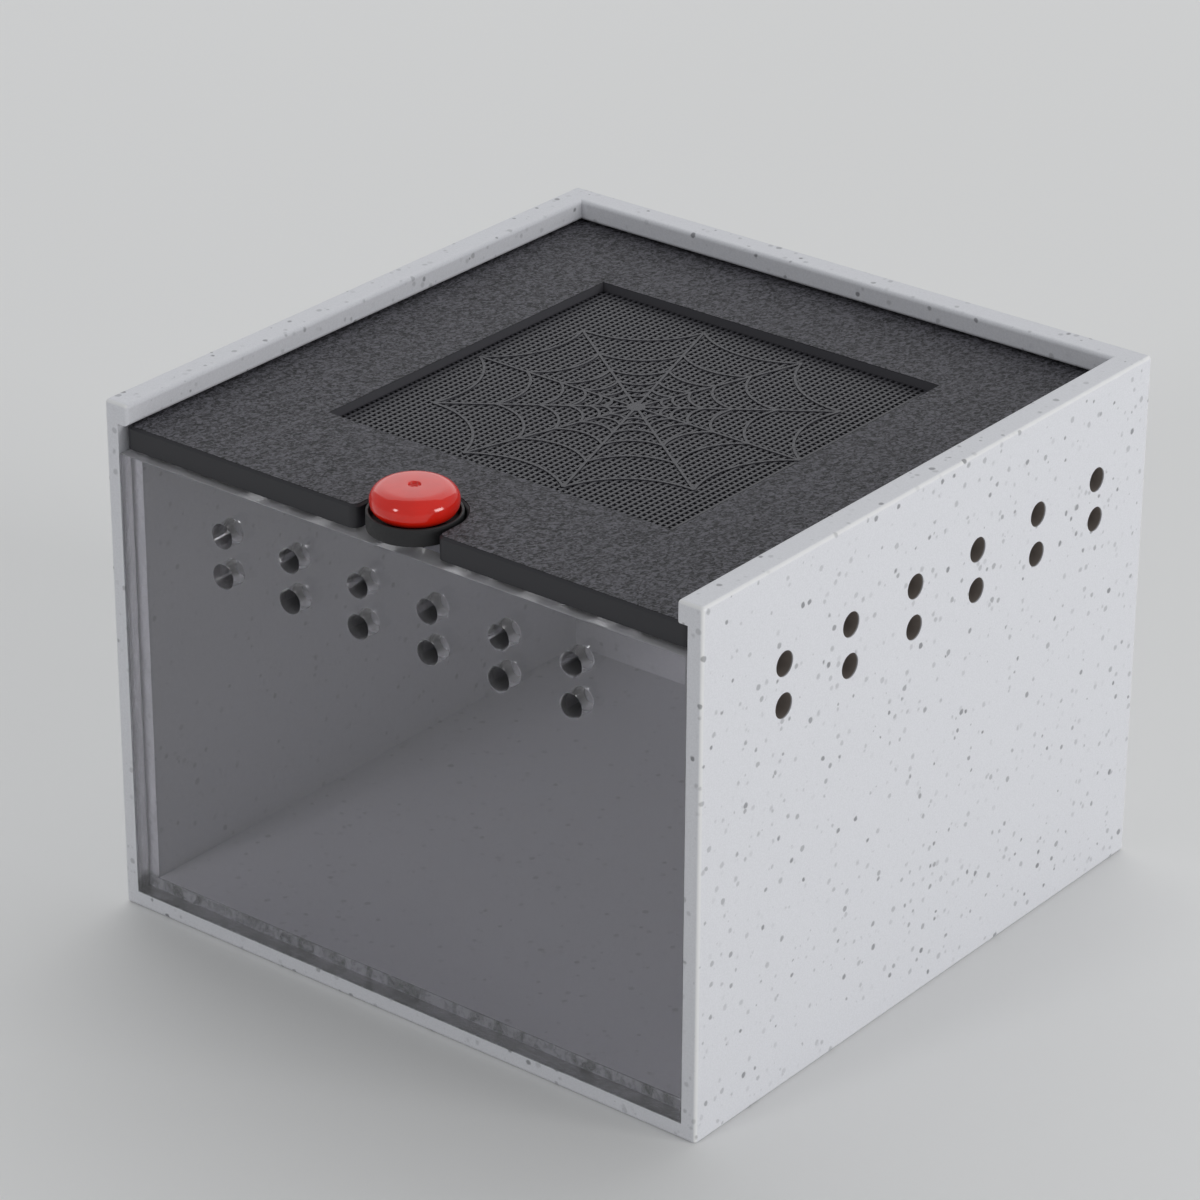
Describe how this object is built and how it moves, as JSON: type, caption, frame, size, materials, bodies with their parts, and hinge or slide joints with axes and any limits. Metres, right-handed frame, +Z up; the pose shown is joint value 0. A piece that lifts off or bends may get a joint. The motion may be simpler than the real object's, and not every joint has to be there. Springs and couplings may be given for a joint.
{
  "type": "spider enclosure",
  "caption": "Small speckled box for one spider, with a clear front panel, vent holes and a dark mesh-window lid that slides to the front and has a push-down lock knob.",
  "frame": {"origin": "middle of the square underside of the box, on the surface that it stands on", "axes": "+X to the right seen from the clear front panel, +Y to the back, +Z up; the clear panel faces -Y"},
  "size_m": [0.085, 0.0863, 0.0653],
  "materials": {
    "shell_print": "satin print with fine dark-grey specks, like terrazzo",
    "clear_panel": "clear polished sheet",
    "glue": "set glue, cloudy",
    "lid_print": "stone-grained top, smoother edges",
    "screen_print": "satin print",
    "web_print": "satin print",
    "cup_plastic": "moulded, slight sheen",
    "ring_rubber": "plain",
    "pin_steel": "turned",
    "knob_plastic": "polished, high gloss"
  },
  "bodies": {
    "box": {"body_shell": "shell_print", "front_panel": "clear_panel", "panel_bond": "glue"},
    "lid": {"lid_frame": "lid_print", "lid_screen": "screen_print", "screen_web": "web_print", "lock_cup": "cup_plastic", "grip_ring": "ring_rubber"},
    "knob": {"lock_knob": "knob_plastic", "lock_pin": "pin_steel"}
  },
  "joints": [
    {"name": "lid_slide", "type": "slide", "parent": "box", "child": "lid", "axis": [0, -1, 0], "range_m": [0, 0.08]},
    {"name": "lock_push", "type": "slide", "parent": "lid", "child": "knob", "axis": [0, 0, -1], "range_m": [0, 0.0009]}
  ]
}
